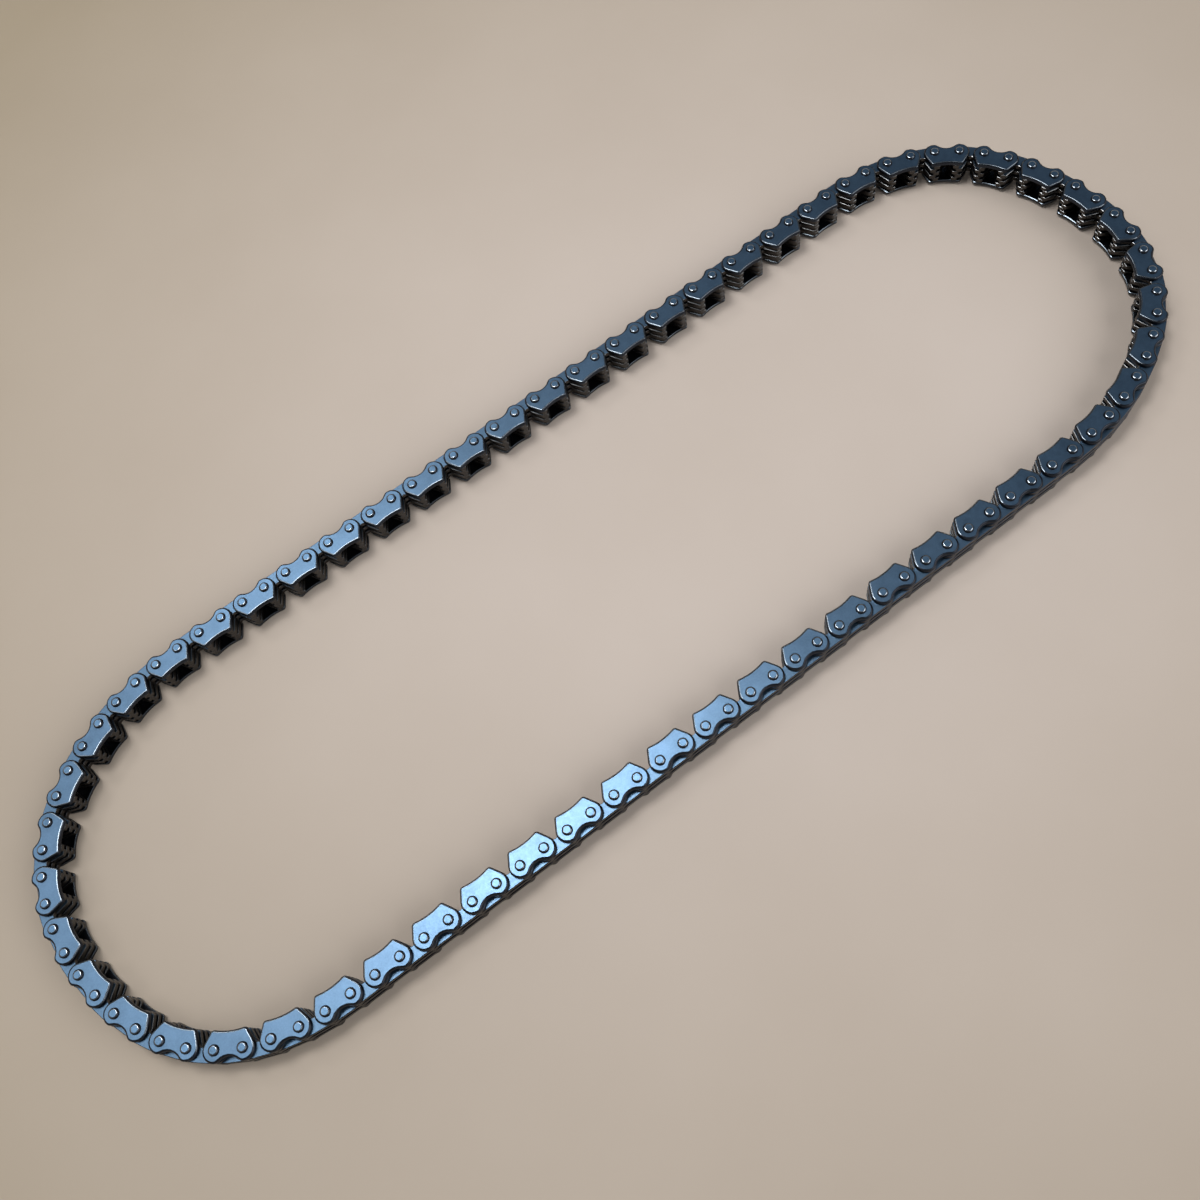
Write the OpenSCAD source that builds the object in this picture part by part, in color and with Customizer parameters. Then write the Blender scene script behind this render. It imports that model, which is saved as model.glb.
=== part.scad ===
// Timing chain: an endless inverted-tooth ("silent") chain that lies on its side.
// Guide links and inner links take turns around the loop, 57 of each, with the teeth on its inside.
// The loop's long axis is X, the pins stand along Z, and Z = 0 is the lower ends of the pins.

/* [Chain] */
// Distance from one pin to the next
pitch = 6.35; // [6:0.05:8]
// Thickness of every link plate
plate_thickness = 1.05; // [0.6:0.05:2]
// Number of layers of plates, an odd number, because both outer ones belong to guide links
layer_count = 7; // [5:2:9]
// Gap between one layer of plates and the next
side_play = 0.05; // [0.03:0.01:0.1]
// Gap between the rounded ends of two plates that follow each other in one layer
end_gap = 0.95; // [0.6:0.05:1.2]

/* [Link plates] */
// Lean of the tooth flanks from square to the pin line, in degrees
flank_angle = 30; // [26:1:32]
// How far the teeth reach from the pin line
tooth_reach = 4; // [3.5:0.05:4.4]
// How far the top of the tooth gap lies from the pin line
crotch_height = 0.4; // [0.2:0.05:0.8]
// Radius of the arch at the top of the tooth gap
crotch_radius = 1; // [0.6:0.05:1.1]
// Rounding of the tooth tips
tip_radius = 0.3; // [0.1:0.05:0.4]

/* [Guide plates] */
// How far the corners of the base reach from the pin line
guide_reach = 4.1; // [3.6:0.05:4.5]
// Rounding of those corners
corner_radius = 0.6; // [0.3:0.05:0.9]
// How far the middle of the base lies back from its corners
base_dip = 0.4; // [0.05:0.05:0.5]
// Height of the waist in the guide plates' back, from the pin line
waist_height = 1.45; // [1.2:0.05:1.7]
// Radius of that waist
waist_radius = 3.4; // [3:0.1:6]
// Radius of the shoulders beside the waist
shoulder_radius = 1.5; // [0.6:0.1:1.7]

/* [Pins] */
// Pin diameter
pin_diameter = 2.44; // [1.6:0.02:3]
// How far each end of a pin stands out of its guide plate
pin_proud = 0.55; // [0.5:0.05:0.9]
// Height and width of the bevel around a pin's end
pin_bevel = 0.4; // [0.1:0.05:0.5]
// Running clearance around a pin in the toothed plates, on the radius
pin_play = 0.04; // [0.02:0.01:0.08]
// Gap drawn at a pin's press fit in the guide plates, on the radius
press_gap = 0.015; // [0.012:0.001:0.02]

/* [Loop at rest] */
// Where the bend of an end begins, in pins from the middle of a straight run
bend_from = 14.5; // [12:0.1:17]
// Where that bend is over, in pins from the same place
bend_to = 42.2; // [38:0.1:46]
// Number of pins over which the bend grows
bend_grow = 1.5; // [1:0.1:6]
// Number of pins over which it fades
bend_fade = 6.4; // [2:0.1:10]
// How uneven the bend is, from 0 for an even curve
ripple = 0.27; // [0:0.01:0.4]
// Length of one wave of that unevenness, in pins
ripple_length = 10.1; // [8:0.1:16]
// Pin at which a wave bends least
ripple_low = 25.6; // [20:0.1:32]

/* [Hidden] */
$fn = 96;
steel = [0.42, 0.53, 0.66];
bright = [0.74, 0.78, 0.82];
overcut = 1;

// Half of the loop has 57 pins, and its other half is the same again, turned about the centre.
half_pins = 57;
pin_count = 2 * half_pins;

// A body of the chain is a stretch of two links. The first body and the one opposite it have three,
// because they stand where the two halves meet, and they never turn.
body_count = half_pins - 1;

// Link number i runs from pin i to the next one. Even links are guide links.
function first_link(b) = b == 0 ? pin_count - 1 : b <= body_count / 2 ? 2 * b : 2 * b + 1;
function link_total(b) = b % (body_count / 2) == 0 ? 3 : 2;

// The loop at rest. Each pin of one half has a bend, and these add up to half a turn.
function ease(t) = t <= 0 ? 0 : t >= 1 ? 1 : t * t * (3 - 2 * t);
function wave(k) = 1 - ripple * cos(360 * (k - ripple_low) / ripple_length);
function bend_share(k) = ease((k - bend_from) / bend_grow) * ease((bend_to - k) / bend_fade) * wave(k);
function total(v, i = 0) = i < len(v) ? v[i] + total(v, i + 1) : 0;
shares = [for (k = [0 : half_pins - 1]) bend_share(k)];
bends = 180 / total(shares) * shares;
headings = [for (i = 0, a = 0; i < pin_count; i = i + 1, a = a - bends[i % half_pins]) a];
steps = [for (a = headings) pitch * [cos(a), sin(a)]];
trail = [for (i = 0, p = [0, 0]; i < pin_count; p = p + steps[i], i = i + 1) p];
pins = [for (p = trail) p - trail[half_pins] / 2];

// Sizes that follow from the ones above. A plate is drawn with its first pin at the origin and its
// second one on +X, so its teeth point along -Y. Points of its outline are counted from its middle.
mid = pitch / 2;
end_radius = (pitch - end_gap) / 2;
pin_radius = pin_diameter / 2;
layer_step = plate_thickness + side_play;
stack_height = (layer_count - 1) * layer_step + plate_thickness;
pin_length = stack_height + 2 * pin_proud;
arch_y = -crotch_height - crotch_radius;
lean = [cos(flank_angle), sin(flank_angle)];
lean_down = [lean[0], -lean[1]];

// Straight edges run this little inside the circles that they blend into, so that the two cross.
blend = 0.01;

// The centre of a circle of radius r that rounds an outer corner, at a reach from the pin line. It
// shares a tangent with the plate's round end.
function corner(r, reach) =
  [mid + (end_radius - r + (r - reach) * lean[1]) / lean[0], r - reach];

// The rounding circle of a tooth's inner corner shares a tangent with the arch of the tooth gap.
tip_y = tip_radius - tooth_reach;
inner_tip = [(crotch_radius + tip_radius - (tip_y - arch_y) * lean[1]) / lean[0], tip_y];

// Where a circle of radius r about p and one of radius s about q meet, left of the way from p to q.
function meet(p, r, q, s) =
  let (d = norm(q - p))
  let (u = (q - p) / d)
  let (t = (d * d + r * r - s * s) / (2 * d))
  p + t * u + sqrt(r * r - t * t) * [-u[1], u[0]];

// The centre of a shoulder's circle, which blends into the waist on one side and into the round end
// on the other.
waist = [0, waist_height + waist_radius];
shoulder = meet(
  waist, waist_radius + shoulder_radius - blend,
  [mid, 0], end_radius - shoulder_radius + blend
);
to_end = (shoulder - [mid, 0]) / norm(shoulder - [mid, 0]);
to_waist = (waist - shoulder) / norm(waist - shoulder);

// The guide plates' base is an arc that blends into the circles of its two corners.
guide_corner = corner(corner_radius, guide_reach);
base_radius =
  (pow(guide_corner[0], 2) + pow(base_dip, 2) - pow(blend, 2)) / (2 * (base_dip - blend))
  - corner_radius;
base_y = base_dip - guide_reach - base_radius;

// An outline whose right half is given, with the left half as its mirror image.
function whole(half) =
  concat(half, [for (i = [len(half) - 1 : -1 : 0]) [-half[i][0], half[i][1]]]);

// Draws its children to the right of the plate's middle and their mirror image to the left.
module both_sides() {
  translate([mid, 0]) children();
  translate([mid, 0]) mirror([1, 0]) children();
}

// What both kinds of plate share: round ends about the pins, and flanks that run down from them to
// two corners of radius r.
module plate_body(r, reach) {
  tip = corner(r, reach);
  both_sides() translate([mid, 0]) circle(r = end_radius);
  both_sides() translate(tip) circle(r = r);
  translate([mid, 0])
    polygon(whole([
      [mid, end_radius - blend],
      [mid, 0] + (end_radius - blend) * lean_down,
      tip + (r - blend) * lean_down,
      [tip[0], blend - reach]
    ]));
}

// The gap between the two teeth of a plate: an arch that opens into a V.
module tooth_gap() {
  translate([mid, arch_y]) circle(r = crotch_radius);
  difference() {
    translate([mid, 0])
      polygon(whole([
        [0, arch_y] + (crotch_radius - blend) * lean,
        inner_tip - (tip_radius - blend) * lean,
        inner_tip,
        [inner_tip[0], -tooth_reach - overcut]
      ]));
    both_sides() translate(inner_tip) circle(r = tip_radius);
  }
}

// The waist in a guide plate's back, with a shoulder rounded off on each side of it.
module waist_cut() {
  translate([mid, 0]) translate(waist) circle(r = waist_radius);
  difference() {
    translate([mid, 0])
      polygon(whole([
        shoulder + (shoulder_radius + overcut) * to_end,
        shoulder,
        shoulder + (shoulder_radius + overcut) * to_waist
      ]));
    both_sides() translate(shoulder) circle(r = shoulder_radius);
  }
}

module pin_holes(gap) {
  both_sides() translate([mid, 0]) circle(r = pin_radius + gap);
}

module toothed_plate() {
  linear_extrude(height = plate_thickness)
    difference() {
      plate_body(tip_radius, tooth_reach);
      tooth_gap();
      pin_holes(pin_play);
    }
}

module guide_plate() {
  linear_extrude(height = plate_thickness)
    difference() {
      plate_body(corner_radius, guide_reach);
      waist_cut();
      translate([mid, base_y]) circle(r = base_radius);
      pin_holes(press_gap);
    }
}

module pin() {
  rotate_extrude()
    polygon([
      [0, 0],
      [pin_radius - pin_bevel, 0],
      [pin_radius, pin_bevel],
      [pin_radius, pin_length - pin_bevel],
      [pin_radius - pin_bevel, pin_length],
      [0, pin_length]
    ]);
}

// Puts its children on layer n of the plates, counted from 0 at the bottom.
module on_layer(n) {
  translate([0, 0, pin_proud + n * layer_step]) children();
}

// Guide plates in the outer layers, toothed plates in every second one between them, and the pins
// pressed into the guide plates.
module guide_link() {
  color(steel) {
    on_layer(0) guide_plate();
    for (n = [2 : 2 : layer_count - 3]) on_layer(n) toothed_plate();
    on_layer(layer_count - 1) guide_plate();
  }
  color(bright) {
    pin();
    translate([pitch, 0, 0]) pin();
  }
}

// Toothed plates in the layers between, which turn on the pins of the guide links on both sides.
module inner_link() {
  color(steel) for (n = [1 : 2 : layer_count - 2]) on_layer(n) toothed_plate();
}

// A body of the chain: the links of its stretch, each laid from its pin along its heading.
module links(b) {
  for (k = [0 : link_total(b) - 1]) {
    i = (first_link(b) + k) % pin_count;
    translate([pins[i][0], pins[i][1], 0])
      rotate([0, 0, headings[i]]) {
        if (i % 2 == 0) guide_link();
        else inner_link();
      }
  }
}

for (b = [0 : body_count - 1])
  links(b);
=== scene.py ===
from math import atan2, cos, pi, radians, sin, sqrt

import bpy
from mathutils import Matrix, Quaternion, Vector


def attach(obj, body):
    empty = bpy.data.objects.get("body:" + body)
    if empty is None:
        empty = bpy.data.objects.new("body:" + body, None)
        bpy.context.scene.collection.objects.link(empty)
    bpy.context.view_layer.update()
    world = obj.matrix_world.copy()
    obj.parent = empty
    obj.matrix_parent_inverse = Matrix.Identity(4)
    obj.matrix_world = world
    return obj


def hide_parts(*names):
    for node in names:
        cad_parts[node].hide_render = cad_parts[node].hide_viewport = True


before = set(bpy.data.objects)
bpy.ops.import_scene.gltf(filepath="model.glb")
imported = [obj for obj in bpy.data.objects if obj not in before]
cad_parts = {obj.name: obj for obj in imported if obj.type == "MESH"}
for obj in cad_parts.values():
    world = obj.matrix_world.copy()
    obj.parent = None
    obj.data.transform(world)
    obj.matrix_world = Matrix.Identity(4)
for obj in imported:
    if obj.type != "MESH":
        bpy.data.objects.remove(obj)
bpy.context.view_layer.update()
bpy.ops.object.select_all(action="DESELECT")


# The view: a camera held over the near side of the chain, a quarter of a metre up, turned a little
# clockwise and looking down at the middle of the loop.
view_from = Vector((-0.0432, -0.1151, 0.2619))
view_to = Vector((-0.0090, -0.0046, 0))
view_turn = radians(20.2)
look = view_to - view_from
bpy.ops.object.camera_add(location=view_from)
camera = bpy.context.object
upright = look.to_track_quat("-Z", "Y")
camera.rotation_euler = (Quaternion(look.normalized(), view_turn) @ upright).to_euler()
camera.data.sensor_width = 36
camera.data.lens = 35.4
camera.data.clip_start = 0.01
camera.data.clip_end = 20
bpy.context.scene.camera = camera


# The loop as it lies: 114 pins a pitch apart, two straight runs and two uneven bends. One half is the
# other one turned about the middle. Every even link is a guide link, every odd one an inner link.
pitch = 0.00635
half_pins = 57
pin_count = 2 * half_pins
bend_from, bend_to = 14.5, 42.2
bend_grow, bend_fade = 1.5, 6.4
ripple, ripple_length, ripple_low = 0.27, 10.1, 25.6


def ease(t):
    t = min(max(t, 0), 1)
    return t * t * (3 - 2 * t)


def bend_share(k):
    grown = ease((k - bend_from) / bend_grow) * ease((bend_to - k) / bend_fade)
    return grown * (1 - ripple * cos(2 * pi * (k - ripple_low) / ripple_length))


shares = [bend_share(k) for k in range(half_pins)]
headings = [0]
for link in range(1, pin_count):
    headings.append(headings[-1] - pi * shares[link % half_pins] / sum(shares))
trail = [Vector((0, 0, 0))]
for heading in headings:
    trail.append(trail[-1] + pitch * Vector((cos(heading), sin(heading), 0)))
loop_middle = trail[half_pins] / 2


def place_of_link(link):
    """Moves a plate drawn about its own middle to a link's place, teeth to the inside of the loop."""
    middle = (trail[link] + trail[link + 1]) / 2 - loop_middle
    return Matrix.Translation(middle) @ Matrix.Rotation(headings[link], 4, "Z")


def links_of_stretch(number):
    """The links that move as one: two, or three where the halves of the loop meet."""
    opposite = half_pins // 2 + 1
    if number == 1:
        return [pin_count - 1, 0, 1]
    if number < opposite:
        return [2 * number - 2, 2 * number - 1]
    if number == opposite:
        return [2 * number - 2, 2 * number - 1, 2 * number]
    return [2 * number - 1, 2 * number]


# The pins: hardened steel rods pressed into the guide plates, which they stand a little proud of.
# Each end is ground flat, with a narrow polished rim around it that is lightened as a painted
# highlight, and around that a steeper rim in painted shade.
plate_thickness = 0.00105
side_play = 0.00005
layer_step = plate_thickness + side_play
pin_radius = 0.00122
pin_proud = 0.00055
pin_rims = ((0.00025, 0.00021), (0.00018, 0.00007))
pin_sides = 16
top_layer = 6
pin_length = top_layer * layer_step + plate_thickness + 2 * pin_proud

# How level a face lies, from 0 to 1: more than the first is flat, and more than the second gentle.
flat, gentle = 0.99, 0.8


def steel(name, colour, roughness, grain, dents, streak=1):
    """Bare steel: a faint cloud over each piece, fine grain in its gloss, and small dents."""
    made = bpy.data.materials.new(name)
    made.use_nodes = True
    nodes, links = made.node_tree.nodes, made.node_tree.links
    shader = nodes["Principled BSDF"]
    shader.inputs["Metallic"].default_value = 1
    place = nodes.new("ShaderNodeTexCoord")
    stretch = nodes.new("ShaderNodeMapping")
    stretch.inputs["Scale"].default_value = (1, 1, streak)
    links.new(place.outputs["Object"], stretch.inputs["Vector"])

    def noise(per_metre, detail):
        node = nodes.new("ShaderNodeTexNoise")
        node.inputs["Scale"].default_value = per_metre
        node.inputs["Detail"].default_value = detail
        node.inputs["Roughness"].default_value = 0.6
        links.new(stretch.outputs["Vector"], node.inputs["Vector"])
        return node.outputs["Fac"]

    fine_share = 0.45
    both = nodes.new("ShaderNodeMix")
    both.inputs["Factor"].default_value = fine_share
    links.new(noise(per_metre=190, detail=2), both.inputs["A"])
    links.new(noise(per_metre=2600, detail=3), both.inputs["B"])
    cloud = nodes.new("ShaderNodeValToRGB")
    low, high = cloud.color_ramp.elements
    low.position, high.position = 0.32, 0.68
    low.color = (*(c * (1 - grain) for c in colour), 1)
    high.color = (*(min(1, c * (1 + grain)) for c in colour), 1)
    links.new(both.outputs["Result"], cloud.inputs["Fac"])
    links.new(cloud.outputs["Color"], shader.inputs["Base Color"])

    smoother, rougher = 0.93 * roughness, 1.09 * roughness
    gloss_range = {"From Min": 0.3, "From Max": 0.7, "To Min": smoother, "To Max": rougher}
    gloss = nodes.new("ShaderNodeMapRange")
    for socket, value in gloss_range.items():
        gloss.inputs[socket].default_value = value
    links.new(noise(per_metre=1400, detail=3), gloss.inputs["Value"])
    links.new(gloss.outputs["Result"], shader.inputs["Roughness"])

    dent_depth = 0.00003
    bump = nodes.new("ShaderNodeBump")
    bump.inputs["Strength"].default_value = dents
    bump.inputs["Distance"].default_value = dent_depth
    links.new(noise(per_metre=3800, detail=2), bump.inputs["Height"])
    links.new(bump.outputs["Normal"], shader.inputs["Normal"])
    return made


def draw_in(piece, rims, side):
    """Draws a piece's top face (side 1) or bottom face (-1) in and outwards, rim after rim."""
    bpy.ops.object.mode_set(mode="EDIT")
    bpy.ops.mesh.select_mode(type="FACE")
    bpy.ops.mesh.select_all(action="DESELECT")
    bpy.ops.object.mode_set(mode="OBJECT")
    for face in piece.data.polygons:
        face.select = face.normal.z * side > flat
    bpy.ops.object.mode_set(mode="EDIT")
    for width, rise in rims:
        bpy.ops.mesh.inset(thickness=width, depth=rise)
    bpy.ops.object.mode_set(mode="OBJECT")


def smooth_rims(piece):
    """Smooths every edge that turns by less than sharp_from, and keeps the flat faces flat."""
    sharp_from = radians(50)
    bpy.ops.object.shade_smooth_by_angle(angle=sharp_from)
    for face in piece.data.polygons:
        face.use_smooth = abs(face.normal.z) < flat


pin_end_steel = steel("ground pin end", (0.13, 0.235, 0.37), 0.36, 0.30, 0.25)
pin_rim_polish_and_highlight_steel = steel("polished pin rim, painted highlight", (0.42, 0.47, 0.52), 0.20, 0.06, 0.05)
# Painted shade: a near-black steel for the steep pin rims and pin sides, the plates' back rims, the
# guide plates' sides, and the faces inside the stack.
shade_painted_steel = steel("painted shade steel", (0.036, 0.041, 0.052), 0.34, 0.20, 0.20)
rod_length = pin_length - 2 * sum(rise for _, rise in pin_rims)
bpy.ops.mesh.primitive_cylinder_add(
    vertices=pin_sides, radius=pin_radius, depth=rod_length, location=(0, 0, pin_length / 2)
)
pin = bpy.context.object
bpy.ops.object.transform_apply(location=True)
draw_in(pin, pin_rims, 1)
draw_in(pin, pin_rims, -1)
for made in (pin_end_steel, pin_rim_polish_and_highlight_steel, shade_painted_steel):
    pin.data.materials.append(made)
# Painted highlight on the gentle rim, which gets the lighter steel; painted shade on the steep rim
# and the rod's side below it.
at_end, at_highlight_rim, in_painted_shade_below_rim = range(3)
for face in pin.data.polygons:
    level = abs(face.normal.z)
    face.material_index = at_end if level > flat else at_highlight_rim if level > gentle else in_painted_shade_below_rim
smooth_rims(pin)


# The toothed link plates: blanked from strip steel, with round ends about the pins, a straight back
# and two pointed teeth. Two of them sit in a guide link and three in an inner link. Their upper edge
# is worn and lightened around the teeth as a painted highlight, and in painted shade along the back.
end_radius = 0.0027
flank_angle = radians(30)
tooth_reach = 0.004
tip_radius = 0.0003
crotch_height, crotch_radius = 0.0004, 0.001
pin_play = 0.00004
plate_rims = ((0.00011, 0.00006),)
# Rims further back than this get painted shade instead of the lightened rim steel.
painted_shade_back_from = 0.0002
hole_sides = 8
right_pin = Vector((pitch / 2, 0, 0))
lean = Vector((cos(flank_angle), sin(flank_angle), 0))
lean_down = Vector((lean.x, -lean.y, 0))
arch = Vector((0, -crotch_height - crotch_radius, 0))
tip_y = tip_radius - tooth_reach
gap_half = (crotch_radius + tip_radius - (tip_y - arch.y) * lean.y) / lean.x
inner_tip = Vector((gap_half, tip_y, 0))


def outer_corner(radius, reach):
    """The centre of the circle that rounds an outer corner, at a reach from the pins' line."""
    y = radius - reach
    return right_pin + Vector(((end_radius - radius + y * lean.y) / lean.x, y, 0))


def start_outline(name, at):
    """Begins the right half of a plate's outline with a single point, in edit mode."""
    bpy.ops.mesh.primitive_circle_add(vertices=3, radius=0.001)
    bpy.context.object.name = name
    bpy.ops.object.mode_set(mode="EDIT")
    bpy.ops.mesh.select_mode(type="VERT")
    bpy.ops.mesh.select_all(action="SELECT")
    bpy.ops.mesh.merge(type="CENTER")
    bpy.ops.transform.translate(value=at)
    return at


def line_to(at, end):
    bpy.ops.mesh.extrude_region_move(TRANSFORM_OT_translate={"value": end - at})
    return end


def arc_to(at, heading, centre, steps):
    """Goes round a centre, the short way, until the outline's end lies at that heading from it."""
    reach = at - centre
    turn = (heading - atan2(reach.y, reach.x) + pi) % (2 * pi) - pi
    bpy.ops.mesh.spin(steps=steps, angle=-turn, center=centre, axis=(0, 0, 1))
    return centre + Matrix.Rotation(turn, 3, "Z") @ reach


def blank_out(rims_above, rims_below):
    """Mirrors the half outline, fills it, gives it the plate's thickness and draws in its rims."""
    same_place = 1e-6
    bpy.ops.object.mode_set(mode="OBJECT")
    plate = bpy.context.object
    other_half = plate.modifiers.new("other half", "MIRROR")
    other_half.merge_threshold = same_place
    bpy.ops.object.modifier_apply(modifier=other_half.name)
    bpy.ops.object.mode_set(mode="EDIT")
    bpy.ops.mesh.select_all(action="SELECT")
    bpy.ops.mesh.remove_doubles(threshold=same_place)
    bpy.ops.mesh.edge_face_add()
    rise_above, rise_below = (sum(rise for _, rise in rims) for rims in (rims_above, rims_below))
    bpy.ops.transform.translate(value=(0, 0, rise_below))
    up = {"value": (0, 0, plate_thickness - rise_above - rise_below)}
    bpy.ops.mesh.extrude_region_move(TRANSFORM_OT_translate=up)
    bpy.ops.mesh.select_all(action="SELECT")
    bpy.ops.mesh.normals_make_consistent(inside=False)
    bpy.ops.object.mode_set(mode="OBJECT")
    draw_in(plate, rims_above, 1)
    draw_in(plate, rims_below, -1)
    return plate


def drill(plate, radius, sides):
    """Takes the two pin holes out of a plate. Their flats lie at the radius, clear of a pin."""
    right_through = 0.01
    for x in (-pitch / 2, pitch / 2):
        bpy.ops.mesh.primitive_cylinder_add(
            vertices=sides, radius=radius / cos(pi / sides), depth=right_through, location=(x, 0, 0)
        )
        drill_bit = bpy.context.object
        hole = plate.modifiers.new("hole", "BOOLEAN")
        hole.object = drill_bit
        bpy.context.view_layer.objects.active = plate
        bpy.ops.object.modifier_apply(modifier=hole.name)
        bpy.data.objects.remove(drill_bit)
    plate.select_set(True)


on_face, on_highlight_rim, on_side, on_painted_shade = range(4)


def give_steels(plate, face_steel, rim_wear_and_highlight_steel, side_steel):
    """Satin faces; worn rims with a painted highlight at the teeth or base, painted shade at the
    back; sides.
    """
    for made in (face_steel, rim_wear_and_highlight_steel, side_steel, shade_painted_steel):
        plate.data.materials.append(made)
    for face in plate.data.polygons:
        level = abs(face.normal.z)
        if level > flat:
            face.material_index = on_face
        # Painted highlight: the rims on the tooth side get the lighter steel; those at the back get
        # painted shade.
        elif level > gentle:
            face.material_index = on_highlight_rim if face.center.y < painted_shade_back_from else on_painted_shade
        else:
            face.material_index = on_side
    smooth_rims(plate)


link_face_steel = steel("satin link plate", (0.12, 0.205, 0.312), 0.36, 0.14, 0.25)
link_rim_wear_and_highlight_steel = steel("worn tooth rim, painted highlight", (0.24, 0.245, 0.25), 0.26, 0.14, 0.10)
side_steel = steel("blanked plate side", (0.066, 0.061, 0.057), 0.40, 0.22, 0.30, streak=0.12)
outer_tip = outer_corner(tip_radius, tooth_reach)
at = start_outline("toothed_plate", Vector((0, end_radius, 0)))
at = line_to(at, right_pin + Vector((0, end_radius, 0)))
at = arc_to(at, -flank_angle, right_pin, steps=5)
at = line_to(at, outer_tip + tip_radius * lean_down)
at = arc_to(at, -pi / 2, outer_tip, steps=2)
at = line_to(at, inner_tip - Vector((0, tip_radius, 0)))
at = arc_to(at, flank_angle - pi, inner_tip, steps=2)
at = line_to(at, arch + crotch_radius * lean)
at = arc_to(at, pi / 2, arch, steps=3)
toothed_plate = blank_out(plate_rims, ())
drill(toothed_plate, pin_radius + pin_play, hole_sides)
give_steels(toothed_plate, link_face_steel, link_rim_wear_and_highlight_steel, side_steel)


# The guide plates: plates without teeth, one above and one below, that keep the chain on its
# sprockets. Their back has a waist between two shoulders, and their base is a little hollow. The
# outer face is rounded off further than the inner one. Its gentle rims are worn and lightened as a
# painted highlight, and its steep edge and sides are in painted shade.
waist_height, waist_radius = 0.00145, 0.0034
shoulder_radius = 0.0015
guide_reach = 0.0041
corner_radius = 0.0008
base_dip = 0.0004
press_gap = 0.000015
outer_rims = ((0.00022, 0.00025), (0.00011, 0.00005), (0.00013, 0.000022))
inner_rims = ((0.00016, 0.00008),)
waist = Vector((0, waist_height + waist_radius, 0))
corner = outer_corner(corner_radius, guide_reach)
base_radius = (corner.x**2 + base_dip**2) / (2 * base_dip) - corner_radius
base = Vector((0, base_dip - guide_reach - base_radius, 0))


def meeting_point(p, p_reach, q, q_reach):
    """The point at those two distances from p and q, left of the way from p to q."""
    way = q - p
    along = (way.length_squared + p_reach**2 - q_reach**2) / (2 * way.length)
    way.normalize()
    return p + along * way + sqrt(p_reach**2 - along**2) * Vector((-way.y, way.x, 0))


def heading_of(way):
    return atan2(way.y, way.x)


waist_to_shoulder = waist_radius + shoulder_radius
shoulder = meeting_point(waist, waist_to_shoulder, right_pin, end_radius - shoulder_radius)
guide_face_steel = steel("satin guide plate", (0.124, 0.213, 0.328), 0.35, 0.15, 0.25)
guide_rim_wear_and_highlight_steel = steel("worn guide rim, painted highlight", (0.19, 0.225, 0.26), 0.26, 0.08, 0.10)
at = start_outline("guide_plate", Vector((0, waist_height, 0)))
at = arc_to(at, heading_of(shoulder - waist), waist, steps=3)
at = arc_to(at, heading_of(shoulder - right_pin), shoulder, steps=3)
at = arc_to(at, -flank_angle, right_pin, steps=7)
at = line_to(at, corner + corner_radius * lean_down)
at = arc_to(at, heading_of(corner - base) - pi, corner, steps=3)
at = arc_to(at, pi / 2, base, steps=3)
guide_plate = blank_out(outer_rims, inner_rims)
drill(guide_plate, pin_radius + press_gap, pin_sides)
# The guide plates' sides and steep outer rim get the painted shade steel.
give_steels(guide_plate, guide_face_steel, guide_rim_wear_and_highlight_steel, shade_painted_steel)


# The laced chain: seven layers of plates, guide plates in the lowest and the highest. Each stretch
# that moves as one gets its guide plates, its toothed plates and its pins as three pieces. The faces
# that look into the stack, and both faces of the middle layer, get the painted shade steel.
layers_in_guide_link, layers_in_inner_link = (2, 4), (1, 3, 5)
painted_shade_within = 1.2 * layer_step
turned_over = Matrix.Translation((0, 0, plate_thickness)) @ Matrix.Rotation(pi, 4, "Y")


def laid(pattern, link, place):
    """A copy of a plate or pin, put in place along a link."""
    copy = pattern.copy()
    copy.data = pattern.data.copy()
    copy.data.transform(place_of_link(link) @ place)
    bpy.context.collection.objects.link(copy)
    return copy


def on_layer(n):
    return Matrix.Translation((0, 0, pin_proud + n * layer_step))


# Painted shade on the flat faces that look into the stack and on the middle layer.
def paint_shade_inside(plates):
    for face in plates.data.polygons:
        outwards = (face.center.z - pin_length / 2) * face.normal.z
        if abs(face.normal.z) > flat and outwards < painted_shade_within:
            face.material_index = on_painted_shade


def joined(copies, name):
    bpy.ops.object.select_all(action="DESELECT")
    for copy in copies:
        copy.select_set(True)
    bpy.context.view_layer.objects.active = copies[0]
    bpy.ops.object.join()
    copies[0].name = copies[0].data.name = name
    return copies[0]


for number in range(1, half_pins):
    node = f"links_{number:02d}"
    links = links_of_stretch(number)
    guide_links = [link for link in links if link % 2 == 0]
    inner_links = [link for link in links if link % 2 == 1]
    guides, toothed, pins = [], [], []
    for link in guide_links:
        guides += [laid(guide_plate, link, on_layer(0) @ turned_over)]
        toothed += [laid(toothed_plate, link, on_layer(n)) for n in layers_in_guide_link]
        guides += [laid(guide_plate, link, on_layer(top_layer))]
        pins += [laid(pin, link, Matrix.Translation((x, 0, 0))) for x in (-pitch / 2, pitch / 2)]
    for link in inner_links:
        toothed += [laid(toothed_plate, link, on_layer(n)) for n in layers_in_inner_link]
    for kind, copies in (("guide_plates", guides), ("toothed_plates", toothed), ("pins", pins)):
        piece = joined(copies, f"{kind}_{number:02d}")
        if kind != "pins":
            paint_shade_inside(piece)
        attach(piece, node)
        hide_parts(node)
for pattern in (pin, toothed_plate, guide_plate):
    bpy.data.objects.remove(pattern)


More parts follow.
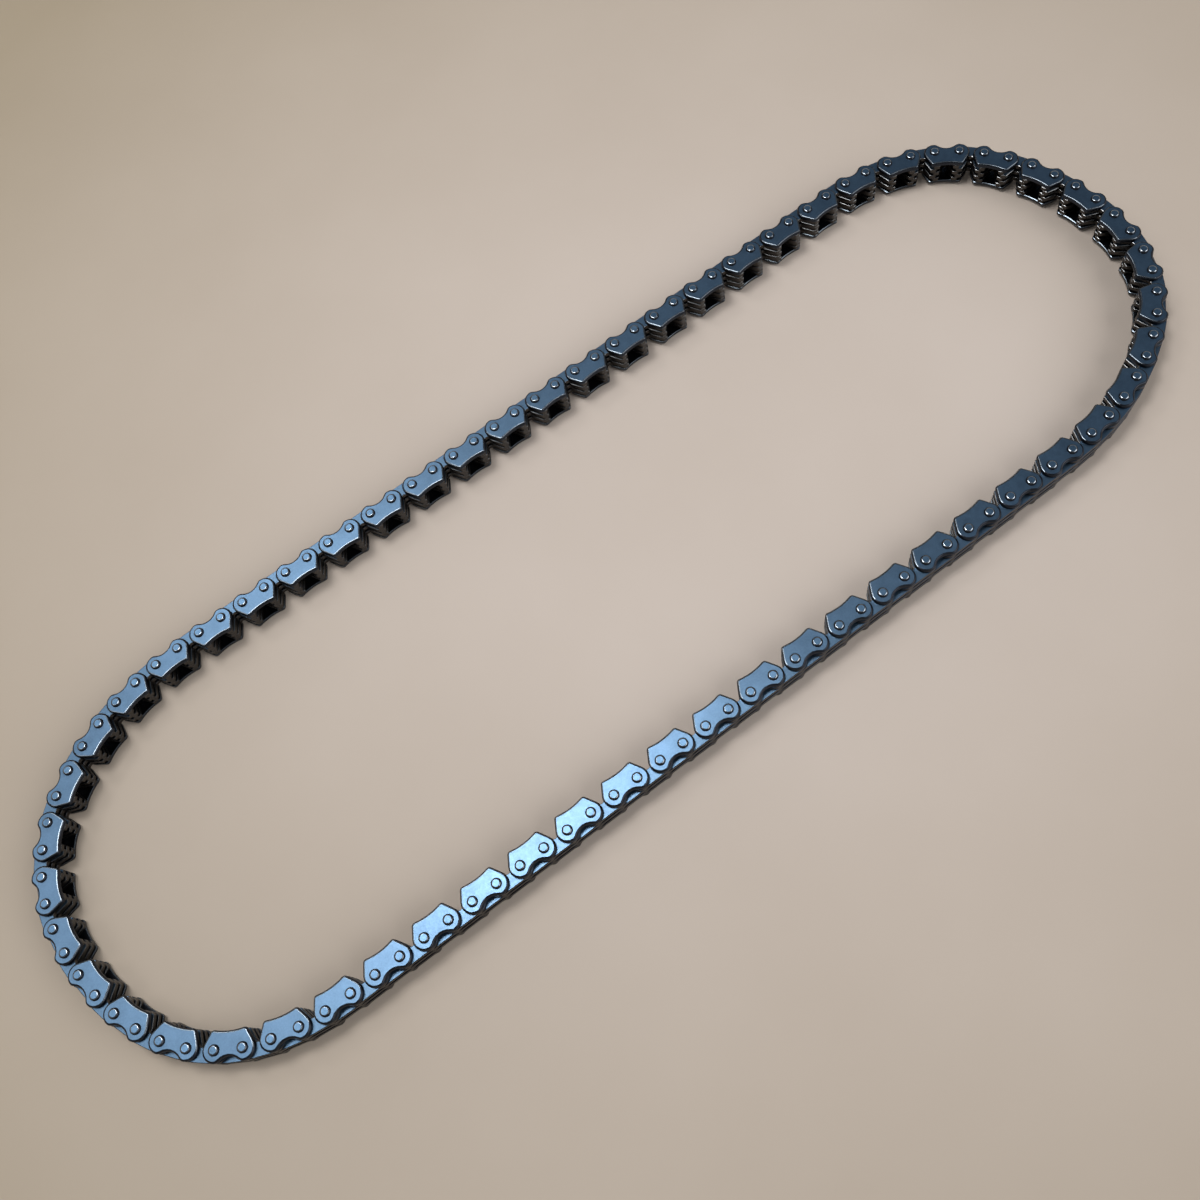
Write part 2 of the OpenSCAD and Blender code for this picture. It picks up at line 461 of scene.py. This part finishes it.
# The floor: a large sheet of buff card with a faint mottle, yellower and darker away from the
# middle of the loop, where the darkening is painted shade. Further off it runs into a pale, even
# tone, as if the sheet were swept up behind the chain, and the camera and the steel see that tone
# without its lighting anything.
floor_size = 6
mottle_per_metre = 14
deep_buff, pale_buff = (0.71, 0.613, 0.535, 1), (0.75, 0.653, 0.578, 1)
untinted, shaded_dull_yellow = (1, 1, 1, 1), (0.635, 0.605, 0.50, 1)
painted_shade_centre, painted_shade_reach = (0.045, 0, 0), 0.33
sweep_tone = (0.56, 0.52, 0.47, 1)
sweep_reach = 1.2
sweep_starts, sweep_ends = 0.74, 0.30
bpy.ops.mesh.primitive_plane_add(size=floor_size)
floor = bpy.context.object
floor.name = "floor"
card = bpy.data.materials.new("buff card")
card.use_nodes = True
card_nodes, card_links = card.node_tree.nodes, card.node_tree.links
card_shader = card_nodes["Principled BSDF"]
card_shader.inputs["Roughness"].default_value = 0.75
card_shader.inputs["Specular IOR Level"].default_value = 0.2
card_place = card_nodes.new("ShaderNodeTexCoord")


def card_nearness(centre, reach):
    """One at a place on the card, falling evenly to nothing at its reach."""
    place = card_nodes.new("ShaderNodeMapping")
    place.vector_type = "TEXTURE"
    place.inputs["Location"].default_value = centre
    place.inputs["Scale"].default_value = (reach, reach, reach)
    ball = card_nodes.new("ShaderNodeTexGradient")
    ball.gradient_type = "SPHERICAL"
    card_links.new(card_place.outputs["Object"], place.inputs["Vector"])
    card_links.new(place.outputs["Vector"], ball.inputs["Vector"])
    return ball.outputs["Fac"]


def card_tone(share, start, start_tone, end, end_tone):
    """A tone that goes over from one to another while a share goes from start to end."""
    ramp = card_nodes.new("ShaderNodeValToRGB")
    first, last = ramp.color_ramp.elements
    first.position, last.position = start, end
    first.color, last.color = start_tone, end_tone
    card_links.new(share, ramp.inputs["Fac"])
    return ramp.outputs["Color"]


def card_share(operation, first, second):
    """Two shares added or multiplied, and kept between 0 and 1."""
    node = card_nodes.new("ShaderNodeMath")
    node.operation = operation
    node.use_clamp = True
    card_links.new(first, node.inputs[0])
    card_links.new(second, node.inputs[1])
    return node.outputs["Value"]


mottle = card_nodes.new("ShaderNodeTexNoise")
mottle.inputs["Scale"].default_value = mottle_per_metre
mottle.inputs["Detail"].default_value = 5
card_links.new(card_place.outputs["Object"], mottle.inputs["Vector"])
mottled = card_tone(mottle.outputs["Fac"], 0.3, deep_buff, 0.7, pale_buff)
# Painted shade: the card darkens, and yellows, from the middle of the loop outward.
near_chain = card_nearness(painted_shade_centre, painted_shade_reach)
painted_shade_tint = card_tone(near_chain, 0.1, shaded_dull_yellow, 0.8, untinted)
tinted_with_painted_shade = card_nodes.new("ShaderNodeMix")
tinted_with_painted_shade.data_type = "RGBA"
tinted_with_painted_shade.blend_type = "MULTIPLY"
tinted_with_painted_shade.inputs["Factor"].default_value = 1
card_links.new(mottled, tinted_with_painted_shade.inputs["A"])
card_links.new(painted_shade_tint, tinted_with_painted_shade.inputs["B"])
card_links.new(tinted_with_painted_shade.outputs["Result"], card_shader.inputs["Base Color"])

swept = card_nodes.new("ShaderNodeMapRange")
swept.inputs["From Min"].default_value = sweep_starts
swept.inputs["From Max"].default_value = sweep_ends
card_links.new(card_nearness((0, 0, 0), sweep_reach), swept.inputs["Value"])
ray = card_nodes.new("ShaderNodeLightPath").outputs
seen = card_share("ADD", ray["Is Camera Ray"], ray["Is Glossy Ray"])
seen = card_share("ADD", seen, ray["Is Transmission Ray"])
sweep = card_nodes.new("ShaderNodeEmission")
sweep.inputs["Color"].default_value = sweep_tone
sheet = card_nodes.new("ShaderNodeMixShader")
card_links.new(card_share("MULTIPLY", swept.outputs["Result"], seen), sheet.inputs["Fac"])
card_links.new(card_shader.outputs["BSDF"], sheet.inputs[1])
card_links.new(sweep.outputs["Emission"], sheet.inputs[2])
card_links.new(sheet.outputs["Shader"], card_nodes["Material Output"].inputs["Surface"])
floor.data.materials.append(card)


# The light: a bright ceiling lamp above and behind the chain, which the satin plates of the near run
# spread into a wide shine, a weaker one further back, a small window on the left, and a big, pale one
# a few metres off to the right. The room is dim, and low down it has the tone of the swept card.
def soft_light(name, centre, width, depth, brightness):
    """An area lamp that faces the middle of the loop and shines with the same brightness all over."""
    bpy.ops.object.light_add(type="AREA", location=centre)
    lamp = bpy.context.object
    lamp.name = name
    lamp.rotation_euler = (-Vector(centre)).to_track_quat("-Z", "Y").to_euler()
    lamp.data.shape = "RECTANGLE"
    lamp.data.size, lamp.data.size_y = width, depth
    lamp.data.energy = brightness * pi * width * depth


soft_light("ceiling_lamp", (-0.10, 0.23, 0.96), 0.30, 0.30, brightness=12)
soft_light("far_lamp", (-0.16, 0.68, 0.90), 0.25, 0.25, brightness=4.5)
soft_light("small_window", (-0.62, 0.34, 0.90), 0.40, 0.40, brightness=1.9)
soft_light("big_window", (1.65, -1.87, 1.87), 2.64, 2.2, brightness=2.3)

room = bpy.data.worlds.new("room")
bpy.context.scene.world = room
room.use_nodes = True
room_nodes, room_links = room.node_tree.nodes, room.node_tree.links
room_way = room_nodes.new("ShaderNodeTexCoord")
room_split = room_nodes.new("ShaderNodeSeparateXYZ")
room_tone = room_nodes.new("ShaderNodeValToRGB")
low_down, wall = room_tone.color_ramp.elements
low_down.position, wall.position = 0.20, 0.48
low_down.color = sweep_tone
wall.color = (0.105, 0.11, 0.12, 1)
room_links.new(room_way.outputs["Generated"], room_split.inputs["Vector"])
room_links.new(room_split.outputs["Z"], room_tone.inputs["Fac"])
room_links.new(room_tone.outputs["Color"], room_nodes["Background"].inputs["Color"])

bpy.context.scene.view_settings.view_transform = "Standard"
